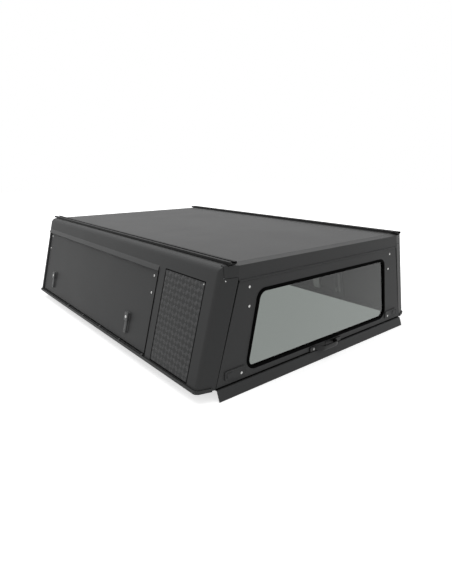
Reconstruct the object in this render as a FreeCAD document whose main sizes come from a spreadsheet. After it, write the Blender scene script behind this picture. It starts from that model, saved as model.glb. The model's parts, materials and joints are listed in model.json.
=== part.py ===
# Steel canopy for the bed of a pickup truck, as separate panels, doors, hinges and gas struts.
# Millimetres. +Z is up and +Y points to the cab. The left side is at -X. The origin lies on the
# underside of the bed-rail flange, at the centre of its four outer bolt holes. Places along Y in
# the sizes are counted from the rear corner of the crisp body and moved by DATUM.
import FreeCAD, Part
import Sketcher
import math
import os
import re

Vector = FreeCAD.Vector

# Driving dimensions: name and value. Angles are in degrees, all else in millimetres.
# Heights ending in _z are measured straight up from the bed rail, and depths ending in _depth
# inward from the outer plane of the wall that the piece belongs to.
SIZES = (
    # outer body
    ("base_half_width", 820), ("side_lean", 14.5), ("body_length", 2040), ("rear_overhang", 14),
    ("roof_z", 535), ("shoulder_radius", 40), ("post_corner_y", 10), ("post_radius", 22),
    ("wall", 22), ("roof_sheet", 12), ("roof_inset", 192), ("seam", 1.8), ("roof_seam", 1.2),
    # flange on the bed rail and the band round its edge
    ("flange_thickness", 3), ("rim_height", 17), ("rim_projection", 4), ("rim_sheet", 2.4),
    ("rim_turn", 0.75), ("flange_width", 70), ("flange_front_width", 60),
    ("rail_bolt_inset", 52), ("rail_bolt_diameter", 11), ("rail_bolt_first_y", 260),
    ("rail_bolt_pitch", 760),
    ("tab_first_y", 474), ("tab_pitch", 251), ("tab_length", 14), ("tab_rise", 2), ("tab_count", 5),
    # roof: rails, bows under the sheet and the slope behind the seam
    ("rail_overlap", 24), ("rail_width", 40), ("rail_height", 13), ("rail_wall", 2.5),
    ("rail_slot", 12), ("rail_rear_y", -8), ("rail_overhang", 32),
    ("bow_first_y", 520), ("bow_pitch", 510), ("bow_width", 60), ("bow_height", 18),
    ("bow_end_gap", 28), ("bow_sheet", 2),
    ("roof_seam_y", 25), ("header_drop", 6), ("header_margin", 20), ("header_notch", 10),
    # rear door
    ("rear_hinge_drop", 73), ("rear_post", 89), ("rear_door_taper", 127),
    ("rear_door_bottom_z", 2), ("rear_gap", 5),
    ("rear_window_margin", 164), ("rear_window_taper", 73),
    ("rear_window_bottom_z", 36), ("rear_window_head", 52), ("window_corner_radius", 52),
    ("seal_width", 21), ("seal_lip", 6), ("seal_proud", 4), ("seal_depth", 18),
    ("glass_thickness", 5), ("glass_depth", 8), ("glass_cover", 8), ("glass_play", 0.3),
    # front wall
    ("front_post", 76), ("front_taper", 104), ("front_window_margin", 184), ("front_window_taper", 60),
    ("front_window_bottom_z", 120), ("front_window_head", 105),
    # side doors
    ("side_hinge_drop", 106), ("side_door_recess", 8), ("side_door_thickness", 16),
    ("side_door_rear_y", 462), ("side_post_front", 25), ("side_gap", 5),
    ("side_door_bottom_z", 24), ("side_opening_bottom_z", 17),
    ("door_skin", 3), ("door_frame_width", 16), ("door_rib_width", 30), ("door_bays", 3),
    # jambs and their rubber
    ("jamb_depth", 33), ("rear_jamb_depth", 31), ("jamb_sheet", 3), ("jamb_cover", 16),
    ("jamb_flange", 18), ("jamb_top_flange", 30), ("bulb_width", 9), ("bulb_play", 0.3),
    ("bulb_setback", 3),
    # drip lip over a side door
    ("lip_rise", 4), ("lip_height", 25), ("lip_proud", 6), ("lip_sheet", 2.5),
    ("lip_rear_overlap", 5), ("lip_front_overlap", 21),
    # tread plate insert behind each side door
    ("tread_rear_y", 88), ("tread_setback", 65), ("tread_bottom_z", 22), ("tread_rise", 24),
    ("tread_sheet", 3), ("tread_sink", 0.5), ("tread_gap", 2.2),
    # continuous hinges
    ("knuckle_radius", 4.5), ("hinge_pin_radius", 2), ("hinge_play", 0.3), ("knuckle_gap", 1),
    ("hinge_leaf", 2), ("hinge_leaf_width", 18), ("knuckle_count", 9), ("hinge_offset", 7),
    # gas struts
    ("strut_barrel_radius", 8), ("strut_rod_radius", 4), ("strut_bore_radius", 4.5),
    ("strut_eye_radius", 6), ("strut_eye_width", 10), ("strut_pin_radius", 3.5),
    ("strut_pin_play", 0.4), ("strut_neck", 14), ("strut_barrel_length", 175),
    ("strut_end_wall", 12),
    ("strut_rod_inside", 110), ("bracket_sheet", 3), ("bracket_width", 30), ("anchor_width", 15),
    ("side_pin_gap", 1), ("rear_pin_gap", 3),
    ("side_pin_drop", 360), ("side_pin_depth", 58), ("side_eye_drop", 62), ("side_eye_depth", 36),
    ("side_strut_offset", 13), ("side_swing", 80),
    ("rear_pin_drop", 350), ("rear_pin_depth", 60), ("rear_pin_outside", 68),
    ("rear_eye_drop", 75), ("rear_eye_depth", 43), ("rear_eye_inside", 29), ("rear_swing", 80),
    # handle, latches and flap
    ("handle_half_foot", 126), ("handle_half_arm", 80), ("handle_half_grip", 60),
    ("handle_reach", 42), ("handle_bottom_z", 6), ("handle_top_z", 30), ("handle_bar", 9),
    ("handle_foot", 6), ("handle_corner", 2.8),
    ("cover_margin", 47), ("cover_length", 121), ("cover_bottom_z", 27), ("cover_top_z", 73),
    ("cover_proud", 5), ("cover_corner", 10), ("lid_margin", 10), ("lid_length", 35), ("lid_proud", 7.5),
    ("lid_corner", 4),
    ("latch_rear_setback", 223), ("latch_front_setback", 193), ("latch_bottom_z", 67),
    ("latch_top_z", 179), ("latch_width", 38), ("latch_base", 3), ("latch_corner", 5),
    ("latch_head_bottom_z", 131), ("latch_head_width", 35), ("latch_proud", 16.5),
    ("lever_width", 25), ("lever_proud", 12), ("lever_top_z", 136), ("lock_z", 153), ("lock_radius", 7.5),
    ("lock_proud", 0.5),
    ("slam_width", 56), ("slam_bottom_z", 40), ("slam_top_z", 128), ("slam_thickness", 18),
    ("flap_proud", 9), ("flap_drop", 46), ("flap_reach", 18), ("flap_sheet", 3),
)

# Places worked out from the sizes: name, then the terms that are added or taken away.
PLACES = (
    ("rear_hinge_z", "roof_z", "-rear_hinge_drop"),
    ("side_hinge_z", "roof_z", "-side_hinge_drop"),
    ("roof_half_width", "base_half_width", "-roof_inset"),
    ("rail_outer_x", "roof_half_width", "rail_overlap"),
    ("rail_inner_x", "rail_outer_x", "-rail_width"),
    ("rail_front_y", "body_length", "rail_overhang"),
    ("header_half_width", "rail_outer_x", "header_margin"),
    ("bow_half_length", "roof_half_width", "-bow_end_gap"),
    ("flange_half_opening", "base_half_width", "-flange_width"),
    ("rail_bolt_x", "base_half_width", "-rail_bolt_inset"),
    ("tab_top_z", "rim_height", "tab_rise"),
    ("rear_door_half_bottom", "base_half_width", "-rear_post"),
    ("rear_door_half_top", "rear_door_half_bottom", "-rear_door_taper"),
    ("post_width", "rear_post", "-rear_gap"),
    ("rear_window_half_bottom", "rear_door_half_bottom", "-rear_window_margin"),
    ("rear_window_half_top", "rear_window_half_bottom", "-rear_window_taper"),
    ("rear_window_top_z", "rear_hinge_z", "-rear_window_head"),
    ("front_half_bottom", "base_half_width", "-front_post"),
    ("front_half_top", "front_half_bottom", "-front_taper"),
    ("front_window_half_bottom", "front_half_bottom", "-front_window_margin"),
    ("front_window_half_top", "front_window_half_bottom", "-front_window_taper"),
    ("front_window_top_z", "roof_z", "-front_window_head"),
    ("side_door_front_y", "body_length", "-side_post_front"),
    ("lip_bottom_z", "side_hinge_z", "lip_rise"),
    ("lip_top_z", "lip_bottom_z", "lip_height"),
    ("lip_rear_y", "side_door_rear_y", "-lip_rear_overlap"),
    ("lip_front_y", "side_door_front_y", "lip_front_overlap"),
    ("tread_front_y", "side_door_rear_y", "-tread_setback"),
    ("tread_top_z", "side_hinge_z", "tread_rise"),
    ("rear_pin_x", "rear_door_half_top", "rear_pin_outside"),
    ("rear_eye_x", "rear_door_half_top", "-rear_eye_inside"),
    ("cover_outer_x", "rear_door_half_bottom", "-cover_margin"),
    ("cover_inner_x", "cover_outer_x", "-cover_length"),
    ("lid_outer_x", "cover_outer_x", "-lid_margin"),
    ("lid_inner_x", "lid_outer_x", "-lid_length"),
    ("latch_rear_y", "side_door_rear_y", "latch_rear_setback"),
    ("latch_front_y", "side_door_front_y", "-latch_front_setback"),
)

document = FreeCAD.newDocument("canopy")
sheet = document.addObject("Spreadsheet::Sheet", "Sizes")
for row, (alias, amount) in enumerate(SIZES, 1):
    sheet.set(f"A{row}", alias)
    sheet.set(f"B{row}", str(amount))
    sheet.setAlias(f"B{row}", alias)
document.recompute()

size = {alias: float(sheet.get(alias)) for alias, amount in SIZES}
places = {}
for name, *terms in PLACES:
    places[name] = ""
    size[name] = 0
    for term in terms:
        sign, known = ("-", term[1:]) if term.startswith("-") else ("+", term)
        places[name] += f" {sign} " + places.get(known, known) if places[name] else places.get(known, known)
        size[name] += size[known] * (-1 if sign == "-" else 1)
    places[name] = f"({places[name]})"
PLACE_NAMES = re.compile(r"\b(" + "|".join(places) + r")\b")
ALIASES = re.compile(r"\b(" + "|".join(alias for alias, amount in SIZES) + r")\b")
LEAN = "cos(side_lean * 1deg)"
LEAN_DROP = "sin(side_lean * 1deg)"
lean = math.radians(size["side_lean"])
DATUM = Vector(0, size["rail_bolt_first_y"] + size["rail_bolt_pitch"], 0)

# Heights at which the doors end below their hinges and the openings end above them
HEADER_BOTTOM = "rear_hinge_z + hinge_offset"
HEADER_NOTCH = "rear_hinge_z + hinge_offset + header_notch"
REAR_DOOR_TOP = "rear_hinge_z - hinge_offset"
SIDE_DOOR_TOP = f"side_hinge_z - hinge_offset * {LEAN}"
SIDE_OPENING_TOP = f"side_hinge_z + hinge_offset * {LEAN}"


def formula(text):
    """An expression with each place spelled out and each size's name bound to its cell."""
    spelled = PLACE_NAMES.sub(lambda match: places[match.group(1)], str(text))
    return ALIASES.sub(r"Sizes.\1", spelled)


def up_wall(height):
    """Height above the rail as a length measured up the leaning side."""
    return f"({height}) / {LEAN}"


# Frames: each wall has one whose local z is its outward normal and whose local y goes up it.
def wall_frame(origin, across, upward, outward):
    origin = origin - DATUM
    matrix = FreeCAD.Matrix(
        across.x, upward.x, outward.x, origin.x,
        across.y, upward.y, outward.y, origin.y,
        across.z, upward.z, outward.z, origin.z,
        0, 0, 0, 1)
    return FreeCAD.Placement(matrix)


def side_frame(side):
    """Frame of a leaning side, side being 1 for right and -1 for left. Local x is side * Y."""
    return wall_frame(
        Vector(side * size["base_half_width"], 0, 0), Vector(0, side, 0),
        Vector(-side * math.sin(lean), 0, math.cos(lean)),
        Vector(side * math.cos(lean), 0, math.sin(lean)))


def side_section_frame(side):
    """Frame for sections swept along a side. Local x points outward and local y up the wall."""
    return wall_frame(
        Vector(side * size["base_half_width"], 0, 0),
        Vector(side * math.cos(lean), 0, math.sin(lean)),
        Vector(-side * math.sin(lean), 0, math.cos(lean)), Vector(0, -side, 0))


PLAN = wall_frame(Vector(0, 0, 0), Vector(1, 0, 0), Vector(0, 1, 0), Vector(0, 0, 1))
REAR = wall_frame(Vector(0, -size["rear_overhang"], 0), Vector(1, 0, 0), Vector(0, 0, 1),
                  Vector(0, -1, 0))
FRONT = wall_frame(Vector(0, size["body_length"], 0), Vector(-1, 0, 0), Vector(0, 0, 1),
                   Vector(0, 1, 0))
SECTION = wall_frame(Vector(0, 0, 0), Vector(1, 0, 0), Vector(0, 0, 1), Vector(0, -1, 0))
CROSS = wall_frame(Vector(0, 0, 0), Vector(0, 1, 0), Vector(0, 0, 1), Vector(1, 0, 0))
SIDES = (("left", -1), ("right", 1))


# Building blocks
def outline(body, corners, depth):
    """A closed sketch whose corners are pinned to the sheet, at a depth along the local z."""
    drawing = body.newObject("Sketcher::SketchObject", body.Name + "_outline")
    plane = next(item for item in body.Origin.OriginFeatures if item.Role == "XY_Plane")
    drawing.AttachmentSupport = [(plane, "")]
    drawing.MapMode = "FlatFace"
    drawing.setExpression("AttachmentOffset.Base.z", formula(depth))
    count = len(corners)
    start = [Vector(100 * math.cos(math.tau * spot / count), 100 * math.sin(math.tau * spot / count), 0)
             for spot in range(count)]
    for spot in range(count):
        drawing.addGeometry(Part.LineSegment(start[spot], start[(spot + 1) % count]))
    for spot in range(count):
        drawing.addConstraint(Sketcher.Constraint("Coincident", spot, 2, (spot + 1) % count, 1))
    for spot, (across, upward) in enumerate(corners):
        pins = (("DistanceX", start[spot].x, across), ("DistanceY", start[spot].y, upward))
        for kind, amount, place in pins:
            number = drawing.addConstraint(Sketcher.Constraint(kind, -1, 1, spot, 1, amount))
            drawing.setExpression(f"Constraints[{number}]", formula(place))
    return drawing


def block(name, frame, corners, low, high, radius=None, chosen=lambda point: True):
    """A prism of an outline between two depths. A radius rounds its upright edges, or the chosen ones."""
    body = document.addObject("PartDesign::Body", name)
    pad = body.newObject("PartDesign::Pad", name + "_pad")
    pad.Profile = outline(body, corners, low)
    pad.setExpression("Length", formula(f"({high}) - ({low})"))
    if radius is not None:
        document.recompute()
        upright = [f"Edge{number}" for number, edge in enumerate(pad.Shape.Edges, 1)
                   if abs(edge.tangentAt(edge.FirstParameter).z) > 0.99 and chosen(edge.Vertexes[0].Point)]
        fillet = body.newObject("PartDesign::Fillet", name + "_corners")
        fillet.Base = (pad, upright)
        fillet.setExpression("Radius", formula(radius))
    body.Placement = frame
    return body


def rectangle(x_low, x_high, y_low, y_high):
    return ((x_low, y_low), (x_high, y_low), (x_high, y_high), (x_low, y_high))


def trapezoid(half_bottom, half_top, bottom, top):
    return ((f"-({half_bottom})", bottom), (half_bottom, bottom), (half_top, top), (f"-({half_top})", top))


def along(side, low, high):
    """A span of Y on a side's frame, whose local x runs backward on the left."""
    return (low, high) if side > 0 else (f"-({high})", f"-({low})")


def side_block(name, side, y_low, y_high, z_low, z_high, low, high, radius=None):
    """A slab on a leaning side between two places along Y, two heights and two depths."""
    return block(name, side_frame(side),
                 rectangle(*along(side, y_low, y_high), up_wall(z_low), up_wall(z_high)), low, high, radius)


def side_section(name, side, corners, y_low, y_high):
    """A section drawn in outward and up-wall lengths, swept along a side."""
    low, high = (f"-({y_high})", f"-({y_low})") if side > 0 else (y_low, y_high)
    return block(name, side_section_frame(side), corners, low, high)


def cylinder(name, radius, length, start, direction):
    rod = document.addObject("Part::Cylinder", name)
    rod.setExpression("Radius", formula(radius))
    rod.setExpression("Height", formula(length))
    rod.Placement = FreeCAD.Placement(start, FreeCAD.Rotation(Vector(0, 0, 1), direction))
    return rod


def union(name, members):
    joined = document.addObject("Part::MultiFuse", name)
    joined.Shapes = members
    return joined


def overlap(name, first, second):
    shared = document.addObject("Part::Common", name)
    shared.Base = first
    shared.Tool = second
    return shared


def cut(name, base, tools):
    """The base with one tool, or several joined, taken away."""
    result = document.addObject("Part::Cut", name)
    result.Base = base
    result.Tool = tools[0] if len(tools) == 1 else union(name + "_tools", tools)
    return result


def group(name, members):
    """Like pieces that don't touch, kept as separate solids of one sub-part."""
    together = document.addObject("Part::Compound", name)
    together.Links = members
    return together


PARTS = []


def sub_part(item, label):
    item.Label = label
    PARTS.append(item)
    return item


# The hollow body that the panels are cut from: a leaning trapezoid with rounded shoulders.
def half_width(height, inset=0):
    return f"base_half_width - ({height}) * tan(side_lean * 1deg) - ({inset}) / {LEAN}"


def post_frame(side):
    """Frame whose local x is a side's outward normal, local y is Y and local z runs along the slope."""
    return wall_frame(
        Vector(side * size["base_half_width"], 0, 0), Vector(side * math.cos(lean), 0, math.sin(lean)),
        Vector(0, 1, 0), Vector(-math.sin(lean), 0, side * math.cos(lean)))


def outer_body(name, round_shoulders):
    """The body's outside with turned rear posts, and with rounded shoulders if asked."""
    body = block(name, SECTION,
                 trapezoid(half_width("flange_thickness"), half_width("roof_z"), "flange_thickness", "roof_z"),
                 "-body_length", "rear_overhang")
    document.recompute()
    if round_shoulders:
        document.recompute()
        pad = body.Tip
        shoulders = [f"Edge{number}" for number, edge in enumerate(pad.Shape.Edges, 1)
                     if abs(edge.tangentAt(edge.FirstParameter).z) > 0.99
                     and edge.Vertexes[0].Point.y > size["roof_z"] - 1]
        rounding = body.newObject("PartDesign::Fillet", name + "_shoulders")
        rounding.Base = (pad, shoulders)
        rounding.setExpression("Radius", formula("shoulder_radius"))
    shape = body
    for side_name, side in SIDES:
        prism = block(f"{name}_post_{side_name}", post_frame(side), (
            (f"-post_width * {LEAN}", "-rear_overhang"), ("0", "post_corner_y"), ("0", "body_length"),
            ("-3 * base_half_width", "body_length"), ("-3 * base_half_width", "-rear_overhang")),
            *along(side, "-4 * roof_z", "4 * roof_z"), "post_radius",
            lambda point: abs(point.x) < 1 and point.y < size["body_length"] / 2)
        shape = overlap(f"{name}_turned_{side_name}", shape, prism)
    return shape


inner = block("inner_space", SECTION,
              trapezoid(half_width("flange_thickness - 1", "wall"), half_width("roof_z - roof_sheet", "wall"),
                        "flange_thickness - 1", "roof_z - roof_sheet"),
              "wall - body_length", "rear_overhang - wall")
hollow = cut("hollow_body", outer_body("outer_body", True), [inner])
header_hollow = cut("header_hollow", outer_body("crisp_body", False), [inner])

# Regions along the real panel seams
roof_region = block("roof_region", SECTION,
                    rectangle("-roof_half_width", "roof_half_width", "roof_z - roof_sheet", "roof_z + 5"),
                    "-body_length - 1", "-roof_seam_y")


def header_outline(name, seam, roof_seam):
    """The header's outline drawn in by the seams at its sides and at the roof."""
    half, step = f"header_half_width - {seam}", f"rear_door_half_top + rear_gap - {seam}"
    notch = f"{HEADER_NOTCH} + {seam}"
    return block(name, SECTION, (
        (f"-({half})", "roof_z + 5"), (f"-({half})", notch), (f"-({step})", notch), (f"-({step})", HEADER_BOTTOM),
        (step, HEADER_BOTTOM), (step, notch), (half, notch), (half, "roof_z + 5")),
        f"-roof_seam_y + {roof_seam}", "rear_overhang + 1")


header_region = header_outline("header_region", "0", "0")
header_space = header_outline("header_space", "seam", "roof_seam")
front_region = block("front_region", FRONT,
                     trapezoid("front_half_bottom", "front_half_top", "0", "roof_z - roof_sheet"), "-wall", "1")
rear_opening = block("rear_opening", REAR,
                     trapezoid("rear_door_half_bottom + rear_gap", "rear_door_half_top + rear_gap",
                               "-5", HEADER_BOTTOM), "-wall - 1", "1")


def roof():
    sub_part(overlap("roof_panel_cut", hollow, roof_region), "roof_panel")
    slope = block("header_slope", CROSS, (
        ("-rear_overhang - 1", "roof_z - header_drop"), ("-rear_overhang", "roof_z - header_drop"),
        ("roof_seam_y", "roof_z"), ("roof_seam_y", "roof_z + 5"), ("-rear_overhang - 1", "roof_z + 5")),
        "-header_half_width - 1", "header_half_width + 1")
    header = cut("rear_header_cut", overlap("header_blank", header_hollow, header_space), [slope])
    sub_part(header, "rear_header")
    bows = []
    for number in range(3):
        middle = f"bow_first_y + {number} * bow_pitch"
        top = "roof_z - roof_sheet"
        bottom = f"{top} - bow_height"
        bows.append(block(f"roof_bow_{number + 1}", CROSS, (
            (f"{middle} - bow_width / 2", top), (f"{middle} - bow_width / 2", f"{top} - bow_sheet"),
            (f"{middle} - bow_width / 4", f"{top} - bow_sheet"), (f"{middle} - bow_width / 4", bottom),
            (f"{middle} + bow_width / 4", bottom), (f"{middle} + bow_width / 4", f"{top} - bow_sheet"),
            (f"{middle} + bow_width / 2", f"{top} - bow_sheet"), (f"{middle} + bow_width / 2", top),
            (f"{middle} + bow_width / 4 - bow_sheet", top),
            (f"{middle} + bow_width / 4 - bow_sheet", f"{bottom} + bow_sheet"),
            (f"{middle} - bow_width / 4 + bow_sheet", f"{bottom} + bow_sheet"),
            (f"{middle} - bow_width / 4 + bow_sheet", top)),
            "-bow_half_length", "bow_half_length"))
    sub_part(group("roof_bow_set", bows), "roof_bows")


def roof_rail(name, side):
    """Slotted rail along the roof's edge, open at both ends, on a narrower foot."""
    def place(x_name, inset):
        return f"{side} * ({x_name} {inset})"
    top = "roof_z + rail_height"
    base = "roof_z"
    foot = "roof_z + rail_wall"
    middle = "(rail_outer_x + rail_inner_x) / 2"
    corners = (
        (place("rail_inner_x", "+ 4"), base), (place("rail_outer_x", "- 12"), base),
        (place("rail_outer_x", "- 12"), foot), (place("rail_outer_x", ""), foot),
        (place("rail_outer_x", ""), top),
        (place(middle, "+ rail_slot / 2"), top),
        (place(middle, "+ rail_slot / 2"), f"{top} - rail_wall"),
        (place("rail_outer_x", "- rail_wall"), f"{top} - rail_wall"),
        (place("rail_outer_x", "- rail_wall"), f"{foot} + rail_wall"),
        (place("rail_inner_x", "+ rail_wall"), f"{foot} + rail_wall"),
        (place("rail_inner_x", "+ rail_wall"), f"{top} - rail_wall"),
        (place(middle, "- rail_slot / 2"), f"{top} - rail_wall"),
        (place(middle, "- rail_slot / 2"), top),
        (place("rail_inner_x", ""), top), (place("rail_inner_x", ""), foot),
        (place("rail_inner_x", "+ 4"), foot))
    rail = block(name + "_profile", SECTION, corners, "-rail_front_y", "-rail_rear_y")
    sub_part(rail, name)


def bed_rim():
    """Flange that sits on the bed rails, with the band that wraps round its outer edge."""
    def plate(name, offset, low, high):
        """The body's plan moved outward by an offset, its rear corners rounded with its posts."""
        side, rear = f"base_half_width + {offset}", f"-rear_overhang - ({offset})"
        turn, corner = "base_half_width - post_width", f"post_corner_y - rim_turn * ({offset})"
        front = f"body_length + {offset}"
        return block(name, PLAN, (
            (f"-({side})", front), (f"-({side})", corner), (f"-({turn})", rear), (turn, rear),
            (side, corner), (side, front)), low, high, f"post_radius + {offset}",
            lambda point: abs(point.x) > size["base_half_width"] - 1 and point.y < size["body_length"] / 2)
    band = plate("rim_outside", "rim_projection", "0", "rim_height")
    inside = plate("rim_inside", "rim_projection - rim_sheet", "flange_thickness", "rim_height + 1")
    load = block("rim_load_space", PLAN,
                 rectangle("-flange_half_opening", "flange_half_opening", "-rear_overhang - 20",
                           "body_length - flange_front_width"), "-1", "rim_height + 1")
    holes = []
    for side_name, side in SIDES:
        for number in range(3):
            along_rail = size["rail_bolt_first_y"] + number * size["rail_bolt_pitch"]
            spot = PLAN.multVec(Vector(side * size["rail_bolt_x"], along_rail, -1))
            holes.append(cylinder(f"rail_bolt_{side_name}_{number + 1}", "rail_bolt_diameter / 2",
                                  "flange_thickness + 2", spot, Vector(0, 0, 1)))
    rim = cut("bed_rim_cut", band, [inside, load] + holes)
    tabs = []
    for side_name, side in SIDES:
        for number in range(int(size["tab_count"])):
            middle = f"tab_first_y + {number} * tab_pitch"
            tabs.append(side_block(f"rim_tab_{side_name}_{number + 1}", side, f"{middle} - tab_length / 2",
                                   f"{middle} + tab_length / 2", "rim_height - 5", "tab_top_z", "0",
                                   "rim_projection + 2.5"))
    sub_part(union("bed_rim_with_tabs", [rim] + tabs), "bed_rim")


def side_panels(side_name, side):
    opening = side_block("side_opening_" + side_name, side,
                         "side_door_rear_y - side_gap", "side_door_front_y + side_gap",
                         "side_opening_bottom_z", SIDE_OPENING_TOP, "-wall - 12", "10")
    recess = side_block("tread_recess_" + side_name, side,
                        "tread_rear_y - tread_gap", "tread_front_y + tread_gap",
                        "tread_bottom_z - tread_gap", "tread_top_z + tread_gap", "-tread_sheet - tread_sink", "5")
    half = block("half_" + side_name, PLAN,
                 rectangle(*(("0", "2 * base_half_width") if side > 0 else ("-2 * base_half_width", "0")),
                           "-rear_overhang - 5", "body_length + 5"), "flange_thickness", "roof_z + 1")
    blank = overlap("side_blank_" + side_name, hollow, half)
    shell = cut("side_shell_cut_" + side_name, blank,
                [roof_region, header_region, front_region, rear_opening, opening, recess])
    sub_part(shell, "side_shell_" + side_name)
    tread = side_block("tread_sheet_" + side_name, side, "tread_rear_y", "tread_front_y",
                       "tread_bottom_z", "tread_top_z", "-tread_sheet - tread_sink", "-tread_sink")
    sub_part(tread, "tread_panel_" + side_name)
    # Jamb: a frame behind the opening, rebated for the door, whose flange carries the rubber
    jamb = side_block("jamb_blank_" + side_name, side,
                      "side_door_rear_y - side_gap - jamb_cover", "body_length - wall",
                      f"flange_thickness + jamb_depth * {LEAN_DROP}", f"{SIDE_OPENING_TOP} + jamb_cover",
                      "-jamb_depth", "-wall")
    rebate = side_block("jamb_rebate_" + side_name, side,
                        "side_door_rear_y - side_gap", "side_door_front_y + side_gap",
                        "side_opening_bottom_z", SIDE_OPENING_TOP, "-jamb_depth + jamb_sheet", "0")
    hole = side_block("jamb_hole_" + side_name, side,
                      "side_door_rear_y - side_gap + jamb_flange", "side_door_front_y + side_gap - jamb_flange",
                      "side_opening_bottom_z + jamb_flange", f"{SIDE_OPENING_TOP} - jamb_top_flange",
                      "-100", "0")
    sub_part(cut("jamb_cut_" + side_name, jamb, [rebate, hole]), "side_jamb_" + side_name)


def side_rubber(side_name, side):
    """Bulb seal on the jamb's flange, just clear of the shut door."""
    low, high = "-jamb_depth + jamb_sheet", "-side_door_recess - side_door_thickness - bulb_play"

    def ring(name, inset):
        return side_block(name + side_name, side,
                          f"side_door_rear_y - side_gap + jamb_flange - {inset}",
                          f"side_door_front_y + side_gap - jamb_flange + {inset}",
                          f"side_opening_bottom_z + jamb_flange - {inset}",
                          f"{SIDE_OPENING_TOP} - jamb_top_flange + {inset}", low, high)
    return cut("side_rubber_" + side_name, ring("rubber_outside_", "(bulb_setback + bulb_width)"),
               [ring("rubber_inside_", "bulb_setback")])


def drip_lip(side_name, side):
    return side_section("drip_lip_" + side_name, side, (
        ("0", up_wall("lip_top_z")), ("lip_proud * 0.45", up_wall("lip_top_z - 8")),
        ("lip_proud", up_wall("lip_bottom_z")), ("lip_proud - lip_sheet", up_wall("lip_bottom_z")),
        ("0", up_wall("lip_bottom_z + 9"))), "lip_rear_y", "lip_front_y")


def side_door(side_name, side):
    back = "-side_door_recess - side_door_thickness"
    panel = side_block("door_panel_" + side_name, side, "side_door_rear_y", "side_door_front_y",
                       "side_door_bottom_z", SIDE_DOOR_TOP, back, "-side_door_recess")
    bays = []
    ribs = "(door_bays - 1) * door_rib_width"
    bay = f"((side_door_front_y - side_door_rear_y - 2 * door_frame_width - {ribs}) / door_bays)"
    for number in range(int(size["door_bays"])):
        start = f"side_door_rear_y + door_frame_width + {number} * ({bay} + door_rib_width)"
        bays.append(side_block(f"door_bay_{side_name}_{number + 1}", side, start, f"{start} + {bay}",
                               "side_door_bottom_z + door_frame_width", f"{SIDE_DOOR_TOP} - door_frame_width",
                               f"{back} - 1", "-side_door_recess - door_skin"))
    sub_part(cut("side_door_cut_" + side_name, panel, bays), "side_door_" + side_name)


def side_latches(side_name, side):
    """Outside, each latch has a base, a head with a lock and a lever. Inside is its slam lock."""
    outside, inside = [], []
    face = "-side_door_recess"
    for end, middle in (("rear", "latch_rear_y"), ("front", "latch_front_y")):
        def slab(piece, width, bottom, top, proud, radius):
            return side_block(f"latch_{piece}_{side_name}_{end}", side, f"{middle} - {width} / 2",
                              f"{middle} + {width} / 2", bottom, top, face, f"{face} + {proud}", radius)
        base = slab("base", "latch_width", "latch_bottom_z", "latch_top_z", "latch_base", "latch_corner")
        head = slab("head", "latch_head_width", "latch_head_bottom_z", "latch_top_z - latch_base",
                    "latch_proud", "latch_corner")
        lever = slab("lever", "lever_width", "latch_bottom_z + latch_base", "lever_top_z", "lever_proud",
                     "latch_corner")
        lock_spot = side_frame(side).multVec(Vector(side * size[middle], size["lock_z"] / math.cos(lean),
                                                    -size["side_door_recess"]))
        lock = cylinder(f"latch_lock_{side_name}_{end}", "lock_radius", "latch_proud + lock_proud", lock_spot,
                        Vector(side * math.cos(lean), 0, math.sin(lean)))
        outside.append(union(f"latch_{side_name}_{end}", [base, head, lever, lock]))
        inside.append(side_block(f"slam_{side_name}_{end}", side, f"{middle} - slam_width / 2",
                                 f"{middle} + slam_width / 2", "slam_bottom_z", "slam_top_z",
                                 f"{face} - door_skin - slam_thickness", f"{face} - door_skin"))
    sub_part(group("side_latch_pair_" + side_name, outside), "side_latches_" + side_name)
    sub_part(group("side_slam_pair_" + side_name, inside), "side_slam_locks_" + side_name)


# Windows: a rounded pane in a grooved rubber, which clips over the edge of the hole
def window(name, frame, half_bottom, half_top, bottom, top):
    def shape(label, inset, low, high):
        """The window's outline moved inward by an inset, between two depths."""
        return block(f"{name}_{label}", frame,
                     trapezoid(f"{half_bottom} - ({inset})", f"{half_top} - ({inset})",
                               f"{bottom} + ({inset})", f"{top} - ({inset})"),
                     low, high, f"window_corner_radius - ({inset})")
    hole = shape("hole", "seal_lip", "-wall - 1", "1")
    lip = shape("lip", "0", "0", "seal_proud")
    body = shape("body", "seal_lip", "-seal_depth", "0")
    rubber = union(name + "_rubber", [lip, body])
    clear = shape("clear", "seal_width", "-seal_depth - 1", "seal_proud + 1")
    groove = shape("groove", "seal_width - glass_cover - glass_play", "-glass_depth - glass_play",
                   "glass_thickness - glass_depth + glass_play")
    seal = cut(name + "_seal_cut", rubber, [clear, groove])
    pane = shape("pane", "seal_width - glass_cover", "-glass_depth", "glass_thickness - glass_depth")
    return hole, seal, pane


def front_wall():
    hole, seal, pane = window("front_window", FRONT, "front_window_half_bottom", "front_window_half_top",
                              "front_window_bottom_z", "front_window_top_z")
    sub_part(cut("front_wall_cut", overlap("front_blank", hollow, front_region), [hole]), "front_wall")
    sub_part(seal, "front_window_seal")
    sub_part(pane, "front_glass")


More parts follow.
